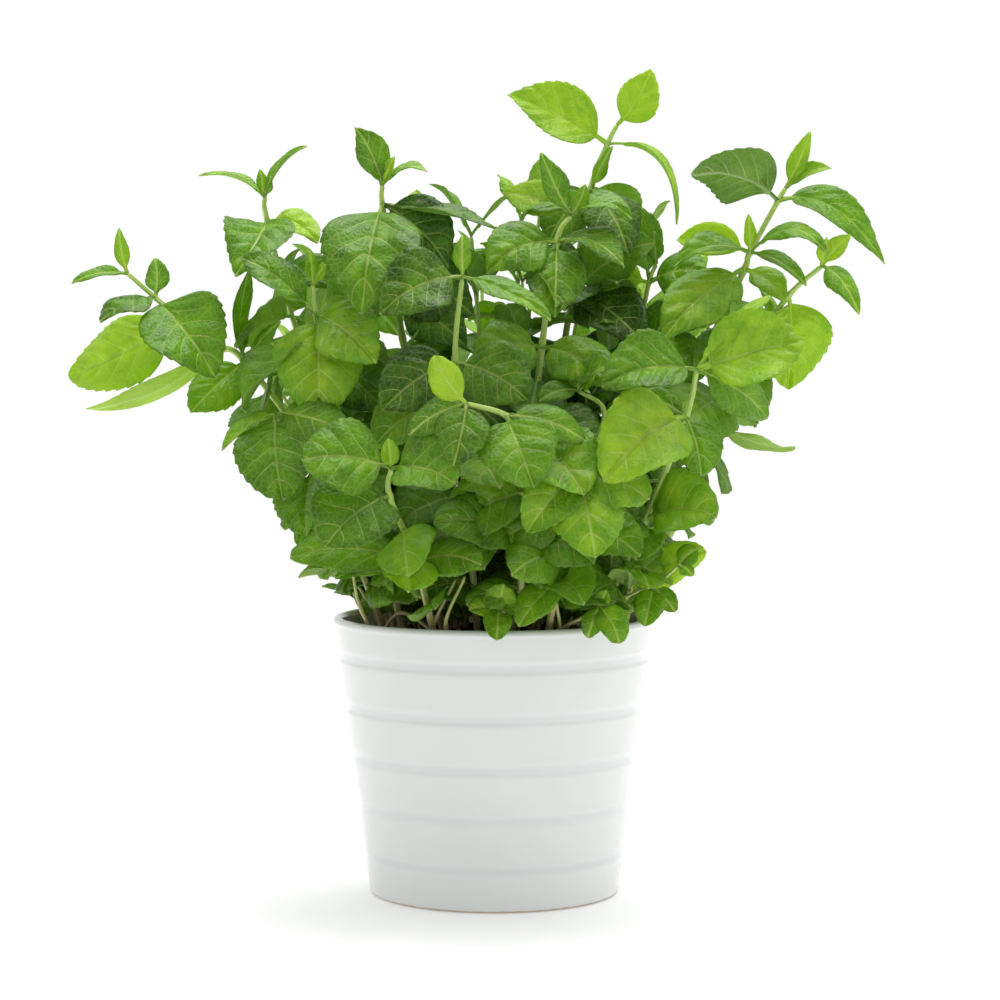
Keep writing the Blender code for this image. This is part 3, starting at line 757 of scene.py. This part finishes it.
# Bare old shoots by the soil, cut or shaded out: foot, middle and end in mm
BARE = [
    [(-52, -16, 106), (-40, -34, 124), (-24, -48, 116), (-14, -56, 108)],
    [(-30, -44, 106), (-24, -54, 124), (-16, -56, 140)],
    [(-14, -50, 106), (-20, -60, 122), (-12, -64, 142)],
    [(20, -46, 106), (27, -54, 118), (26, -61, 134), (34, -62, 150)],
    [(30, -36, 106), (39, -46, 119), (48, -56, 138), (48, -56, 160)],
    [(12, -44, 106), (22, -52, 116), (42, -56, 127), (62, -52, 136)],
    [(42, -30, 106), (49, -36, 119), (62, -44, 130), (72, -44, 146)],
    [(-44, -30, 106), (-56, -40, 126), (-60, -44, 148)],
    [(-4, -50, 106), (4, -60, 120), (2, -64, 138)],
    [(50, 6, 106), (62, 4, 126), (70, -4, 150)],
    [(-50, 4, 106), (-60, 4, 126), (-66, 8, 150)],
    [(-22, 44, 106), (-26, 56, 124), (-20, 62, 146)],
    [(12, 50, 106), (16, 60, 124), (28, 62, 144)],
    [(36, 36, 106), (46, 46, 122), (44, 54, 146)],
    [(-38, 32, 106), (-48, 44, 124), (-44, 50, 144)],
    [(0, 46, 106), (-8, 58, 118), (-22, 60, 128)],
]
for turned, nodes in enumerate(BARE):
    stem = closed_surface(f"bare_stem_{turned + 1}", stem_surface(nodes, BARE_RADIUS), skin)
    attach(stem, "root")

# ---------------------------------------------------------------------------------------
# The leaves: thin living tissue, quilted up between its veins, with a saw-toothed edge.
# The upper side is satin and deeper green; the lower is paler and matt, and its veins
# stand out. Daylight comes through, so a young leaf against the light glows lime.

STALK_SHARE = 0.13
STALK_WIDTH = 1.3
STALK_DEPTH = 1.1
BLADE_DEPTH = 0.34
WIDEST_POWER = 0.72
FOLD = 0.16
FULLNESS = 1.08
BROAD_LEAF = 16
OWN_GRIDS = ((64, 27), (44, 17))
SIDE_GRIDS = ((40, 17), (28, 11))
SEAT_RADIUS = 1.2


def smooth(value, low, high):
    """From 0 at low to 1 at high along t * t * (3 - 2 * t)."""
    t = np.clip((value - low) / (high - low), 0, 1)
    return t * t * (3 - 2 * t)


def leaf_surface(start, tip, bend, face, width, rows, columns, number):
    """Upper and lower points of one leaf in mm, and its vein coordinates.

    Along the leaf u runs 0 to 1, and across it v runs -1 to 1. The outline's half width is
    FULLNESS * w / 2 * sin(pi * b ** 0.72) ** f over the blade's share b, plus teeth that
    grow towards the tip and drop back. The midrib is the straight line plus 4 * bend * u *
    (1 - u). Side veins lie where the phase n * (b - 0.46 * |v| ** 1.15 * (1 - 0.55 * b))
    is whole. The tissue bulges by |sin(pi * phase)| ** 0.6 between them, and is puckered."""
    draw = np.random.default_rng(number)
    length = np.linalg.norm(tip - start)
    width = width * FULLNESS
    u = np.linspace(0, 1, rows)[:, None]
    v = np.linspace(-1, 1, columns)[None, :]
    blade = np.clip((u - STALK_SHARE) / (1 - STALK_SHARE), 0, 1)
    full = np.interp(start[2], (160, 225, 270), (0.5, 0.6, 0.86)) + draw.uniform(-0.05, 0.06)
    outline = np.sin(np.pi * np.clip(blade, 1e-6, 1 - 1e-6) ** WIDEST_POWER) ** full
    half = np.maximum(width / 2 * outline, STALK_WIDTH / 2 * (blade < 0.5) + 0.12)
    # Teeth: about 4 mm apart on a large leaf
    teeth = np.clip(round(length / 4.2), 5, 11)
    tooth = (blade * teeth + 0.2 * np.sign(v)) % 1.0
    tooth = (np.minimum(tooth / 0.75, (1 - tooth) / 0.25)
             * smooth(blade, 0.12, 0.3) * (1 - smooth(blade, 0.93, 1)))
    edge = np.abs(v) ** 6
    x = v * half * (1 + 0.045 * tooth * edge)
    ahead = 0.016 * length * tooth * edge
    # Veins
    pairs = np.clip(round(length / 8.5), 3, 5)
    phase = pairs * (blade - 0.46 * np.abs(v) ** 1.15 * (1 - blade * 0.55)) + draw.uniform(0, 0.5)
    along_mm = u * length + 0 * v
    phase = phase + 0.06 * np.sign(v) + 0.1 * lumps(x * MM, along_mm * MM, 9 * MM, number + 2)
    between = np.abs(np.sin(np.pi * phase)) ** 0.6
    inside = smooth(np.abs(x), 0.2, 1.6) * (1 - np.abs(v) ** 4) * smooth(blade, 0, 0.12)
    strong = np.clip(width / 30, 0.25, 1)
    fine = 1 - 1.6 * np.abs(lumps(x * MM, along_mm * MM, 2.9 * MM, number)) ** 0.8
    broad = lumps(x * MM, along_mm * MM, 6.5 * MM, number + 1)
    pucker = (0.2 * fine + 1.1 * broad) * (0.35 + 0.65 * between)
    quilt = strong * inside * (0.8 * between + pucker)
    midrib = np.exp(-(x / 0.75) ** 2) * (blade > 0)
    # The leaf as a sheet: a fold, an arch across, waves along the edge and a nodding tip
    arch, nod = draw.uniform(-0.25, 0.4), draw.uniform(0.0, 0.07) * (0.4 + 0.6 * strong)
    wave = draw.uniform(0.4, 1.0) * 0.06 * width
    height = ((FOLD + draw.uniform(-0.1, 0.16)) * np.abs(x) - arch * x ** 2 / (width / 2)
              + wave * v ** 2 * np.sin(2 * np.pi * (1.6 * u + draw.uniform(0, 1)) + v)
              - nod * length * smooth(u, 0.55, 1) ** 2
              + 1.3 * quilt - 0.4 * midrib * strong)
    straight = tip - start
    along = unit(straight + 4 * bend * (1 - 2 * u[..., None]))
    side = unit(np.cross(along, face))
    up = np.cross(side, along)
    points = (start + straight * u[..., None] + 4 * bend * (u * (1 - u))[..., None]
              + side * x[..., None] + up * height[..., None] + along * ahead[..., None])
    normal = unit(np.cross(np.gradient(points, axis=1), np.gradient(points, axis=0)))
    depth = STALK_DEPTH + (BLADE_DEPTH - STALK_DEPTH) * smooth(blade, 0, 0.12)
    depth = depth * (1 - 0.7 * np.abs(v) ** 6)
    rib = strong * (0.75 * midrib * (1 - 0.75 * blade) + 0.16 * inside * (1 - between) ** 3)
    upper = points + normal * (depth / 2)[..., None]
    lower = points - normal * (depth / 2 + rib)[..., None]
    veins = np.stack([x, phase, np.broadcast_to(blade, x.shape)], axis=-1)
    flat = np.stack([x, u * length + 0 * v, np.abs(v) + 0 * u], axis=-1)
    return upper, lower, veins, flat


def leaf_mesh(name, leaves, materials):
    """One mesh from one or more leaves. Each has an upper and a lower sheet, joined all
    round their edge, and carries its vein and blade coordinates and its tone, which is
    painted shade and light as well as the leaf's age."""
    points, faces, slots, veins, flats, shade_and_age_values = [], [], [], [], [], []
    base = 0
    for upper, lower, vein, flat, shade_and_age in leaves:
        rows, columns = upper.shape[:2]
        count = rows * columns
        index = np.arange(count).reshape(rows, columns) + base
        sheet = np.stack([index[:-1, :-1], index[:-1, 1:], index[1:, 1:], index[1:, :-1]],
                         axis=-1).reshape(-1, 4)
        border = np.concatenate([index[0, :-1], index[:-1, -1],
                                 index[-1, :0:-1], index[:0:-1, 0]])
        after = np.roll(border, -1)
        rim = np.stack([border, border + count, after + count, after], axis=-1)
        faces += [sheet, sheet[:, ::-1] + count, rim]
        slots += [np.zeros(len(sheet)), np.ones(len(sheet) + len(rim))]
        points += [upper.reshape(-1, 3), lower.reshape(-1, 3)]
        veins += [vein.reshape(-1, 3)] * 2
        flats += [flat.reshape(-1, 3)] * 2
        shade_and_age_values.append(np.full(2 * count, shade_and_age))
        base += 2 * count
    mesh = bpy.data.meshes.new(name)
    mesh.from_pydata((np.concatenate(points) * MM).tolist(), [], np.concatenate(faces).tolist())
    mesh.shade_smooth()
    for material in materials:
        mesh.materials.append(material)
    mesh.polygons.foreach_set("material_index", np.concatenate(slots).astype(np.int32))
    for key, rows in (("veins", np.concatenate(veins)), ("blade", np.concatenate(flats))):
        mesh.attributes.new(key, "FLOAT_VECTOR", "POINT").data.foreach_set("vector", rows.ravel())
    mesh.attributes.new("shade_and_age", "FLOAT", "POINT").data.foreach_set("value", np.concatenate(shade_and_age_values))
    return placed(name, mesh)


def leaf_side(name, deep, middle, young, vein, through, roughness, vein_share):
    """One side of a mint leaf. The flesh runs from deep to young green with the leaf's
    tone, mottled over a few millimetres, with a fine net of veinlets; the deep green is
    painted shade for leaves inside the bush. Part of the light
    goes through the blade as yellow-green."""
    made, tree, shader = new_material(name)
    place = add(tree, "TexCoord").outputs["Object"]
    # The tone: painted shade and light on the leaf, together with its age
    shade_and_age = add(tree, "Attribute", attribute_name="shade_and_age").outputs["Fac"]
    vein_at = add(tree, "Attribute", attribute_name="veins").outputs["Vector"]
    blade_at = add(tree, "Attribute", attribute_name="blade").outputs["Vector"]
    part = add(tree, "SeparateXYZ", {0: vein_at})
    mottle = add(tree, "TexNoise", {"Vector": place, "Scale": 120, "Detail": 4})
    spread = add(tree, "Math", {0: mottle, 1: 0.9, 2: -0.34}, operation="MULTIPLY_ADD")
    across = add(tree, "SeparateXYZ", {0: blade_at})
    # Painted shade: the flesh is drawn lighter beside the midrib and darker near the edge
    mottle_and_edge_shade = add(tree, "Math", {0: across.outputs["Z"], 1: -0.22, 2: spread},
                 operation="MULTIPLY_ADD")
    level = add(tree, "Math", {0: shade_and_age, 1: mottle_and_edge_shade}, operation="ADD")
    low = add(tree, "MapRange", {"Value": level, "From Max": 0.5})
    high = add(tree, "MapRange", {"Value": level, "From Min": 0.5})
    dark = add(tree, "Mix", {0: low, 6: linear(deep), 7: linear(middle)}, data_type="RGBA")
    flesh = add(tree, "Mix", {0: high, 6: dark, 7: linear(young)}, data_type="RGBA")
    # Side veins up to 1 mm wide, the midrib 1 mm, veinlets as the walls of 2.4 mm cells
    whole = add(tree, "Math", {0: part.outputs["Y"], 1: 0.5}, operation="PINGPONG")
    lateral = add(tree, "MapRange", {
        "Value": whole, "From Min": 0.06, "From Max": 0.015,
    }, interpolation_type="SMOOTHSTEP")
    aside = add(tree, "Math", {0: part.outputs["X"]}, operation="ABSOLUTE")
    midrib = add(tree, "MapRange", {
        "Value": aside, "From Min": 0.75, "From Max": 0.25,
    }, interpolation_type="SMOOTHSTEP")
    on_blade = add(tree, "Math", {0: part.outputs["Z"], 1: 0.01}, operation="GREATER_THAN")
    ribs = add(tree, "Math", {0: lateral, 1: on_blade}, operation="MULTIPLY")
    thin = add(tree, "MapRange", {
        "Value": across.outputs["Z"], "From Min": 0.2, "From Max": 0.95,
        "To Min": 1.0, "To Max": 0.2,
    })
    ribs = add(tree, "Math", {0: ribs, 1: thin}, operation="MULTIPLY")
    ribs = add(tree, "Math", {0: ribs, 1: midrib}, operation="MAXIMUM")
    net = add(tree, "TexVoronoi", {"Vector": blade_at, "Scale": 0.42},
              feature="DISTANCE_TO_EDGE", voronoi_dimensions="2D")
    fine = add(tree, "MapRange", {
        "Value": net, "From Min": 0.13, "From Max": 0.0,
    }, interpolation_type="SMOOTHSTEP")
    weight = add(tree, "Math", {0: fine, 1: 0.3}, operation="MULTIPLY")
    weight = add(tree, "Math", {0: weight, 1: ribs}, operation="MAXIMUM")
    weight = add(tree, "Math", {0: weight, 1: vein_share}, operation="MULTIPLY")
    veined = add(tree, "Mix", {0: weight, 6: flesh, 7: linear(vein)}, data_type="RGBA")
    tree.links.new(veined.outputs[2], shader.inputs["Base Color"])
    rough = add(tree, "Math", {0: mottle, 1: 0.2, 2: roughness - 0.1}, operation="MULTIPLY_ADD")
    tree.links.new(rough.outputs[0], shader.inputs["Roughness"])
    shader.inputs["Specular IOR Level"].default_value = 0.42
    pillow = add(tree, "Math", {0: net, 1: 0.35}, operation="MINIMUM")
    relief = add(tree, "Math", {0: weight, 1: -0.35, 2: pillow}, operation="MULTIPLY_ADD")
    bump = add(tree, "Bump", {"Height": relief, "Strength": 0.8, "Distance": 0.00045})
    tree.links.new(bump.outputs[0], shader.inputs["Normal"])
    # Through-light: brighter and yellower than the flesh, and brightest in the watery veins
    glow = add(tree, "Mix", {
        0: shade_and_age, 6: linear(through[0]), 7: linear(through[1]),
    }, data_type="RGBA")
    shade = add(tree, "Math", {0: ribs, 1: 0.12, 2: 1.0}, operation="MULTIPLY_ADD")
    glow = add(tree, "VectorMath", {0: glow, 1: shade}, operation="MULTIPLY")
    soak = add(tree, "BsdfTranslucent", {"Color": glow})
    both = add(tree, "MixShader", {0: 0.4, 1: shader, 2: soak})
    tree.links.new(both.outputs[0], tree.nodes["Material Output"].inputs["Surface"])
    return made


# The deep greens are painted shade for the leaves inside the bush
SIDES = [
    leaf_side("mint leaf, upper side", "2B5005", "70A90C", "B8DA28", "D6E67C",
              ("66A608", "CCEE34"), 0.36, 0.7),
    leaf_side("mint leaf, lower side", "6A8C3C", "94B84C", "C2DA68", "E0ECB8",
              ("76A814", "D6F44C"), 0.6, 0.5),
]


def grown_leaf(nodes, row, thickness, grids, number):
    """The leaf of one row of the plan, its stalk set into the skin of the stem at its node.
    Of the two grids the finer is for a leaf over BROAD_LEAF wide."""
    joint, tip, width, face, bend, shade_and_age = row
    rows, columns = grids[0] if width > BROAD_LEAF else grids[1]
    route = route_through(nodes)
    at = int(round(joint * STEM_STEPS))
    node, tip, bend = route[at], np.array(tip, float), np.array(bend, float)
    stem_way = unit(route[min(at + 1, len(route) - 1)] - route[at - 1])
    way = unit(tip - node + 4 * bend)
    lean = np.linalg.norm(np.cross(way, stem_way))
    radius = thickness * (1 + (STEM_TIP_SHARE - 1) * at / (len(route) - 1))
    start = node + way * (radius * 0.35 if at < len(route) - 1 else radius * 0.2)
    surface = leaf_surface(start, tip, bend, np.array(face, float), width, rows, columns, number)
    return (*surface, shade_and_age)


number = 0
for name, (nodes, packed, more) in SHOOTS.items():
    thickness = STEM_RADIUS if f"stem_{name}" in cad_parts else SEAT_RADIUS
    for letter, row in zip("abcd", packed):
        number += 1
        grown = [grown_leaf(nodes, row, thickness, OWN_GRIDS, number)]
        leaf = leaf_mesh(f"shoot_{name}_leaf_{letter}", grown, SIDES)
        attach(leaf, "root")
        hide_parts(f"leaf_{name}_{letter}")
    grown = []
    for row in more:
        number += 1
        grown.append(grown_leaf(nodes, row, thickness, SIDE_GRIDS, number))
    side_leaves = leaf_mesh(f"shoot_{name}_side_leaves", grown, SIDES)
    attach(side_leaves, "root")

# ---------------------------------------------------------------------------------------
# The studio: a pale, round acrylic table lit from below, white walls all round that are a
# little darker behind the viewer, and one wide soft light above and behind the plant, with
# a weak one on the right.

TABLE_RADIUS = 1.6
TABLE_DROP = 0.2 * MM
turn = np.linspace(0, 2 * np.pi, 96, endpoint=False)
disc = np.stack([TABLE_RADIUS * np.cos(turn), TABLE_RADIUS * np.sin(turn), 0 * turn], axis=-1)
mesh = bpy.data.meshes.new("floor")
mesh.from_pydata(disc.tolist(), [], [list(range(len(turn)))])
pale, _, shader = new_material("pale table")
shader.inputs["Base Color"].default_value = linear("EBEBEB")
shader.inputs["Roughness"].default_value = 0.9
shader.inputs["Emission Color"].default_value = (1, 1, 1, 1)
shader.inputs["Emission Strength"].default_value = 0.24
mesh.materials.append(pale)
floor = placed("floor", mesh)
floor.location.z = -TABLE_DROP

world = bpy.data.worlds.new("white room")
bpy.context.scene.world = world
world.use_nodes = True
tree = world.node_tree
way = add(tree, "TexCoord").outputs["Generated"]
front = add(tree, "SeparateXYZ", {0: way})
share = add(tree, "MapRange", {
    "Value": front.outputs["Y"], "From Min": -0.95, "From Max": 0.7,
    "To Min": 0.6, "To Max": 1.01,
}, interpolation_type="SMOOTHSTEP")
tree.links.new(share.outputs[0], tree.nodes["Background"].inputs["Strength"])
tree.nodes["Background"].inputs["Color"].default_value = (1, 1, 1, 1)


def soft_light(name, place, aim, size, power):
    """A square soft box at a place, turned to face another point."""
    lamp = bpy.data.lights.new(name, "AREA")
    lamp.size = size
    lamp.energy = power
    made = placed(name, lamp)
    made.location = place
    made.rotation_euler = (Vector(aim) - Vector(place)).to_track_quat("-Z", "Y").to_euler()


soft_light("top_light", (0.1, 0.25, 1.5), (0, 0, 0.2), 1.2, 20)
soft_light("right_light", (1.4, -0.3, 0.8), (0, 0, 0.15), 0.8, 2)

lens = bpy.data.cameras.new("camera")
lens.lens = 104.1
lens.sensor_width = 36
camera = placed("camera", lens)
camera.location = (0.0024, -1.25, 0.240)
aim = Vector((0.0024, 0, 0.170)) - camera.location
camera.rotation_euler = aim.to_track_quat("-Z", "Y").to_euler()
bpy.context.scene.camera = camera
bpy.context.scene.view_settings.view_transform = "Standard"
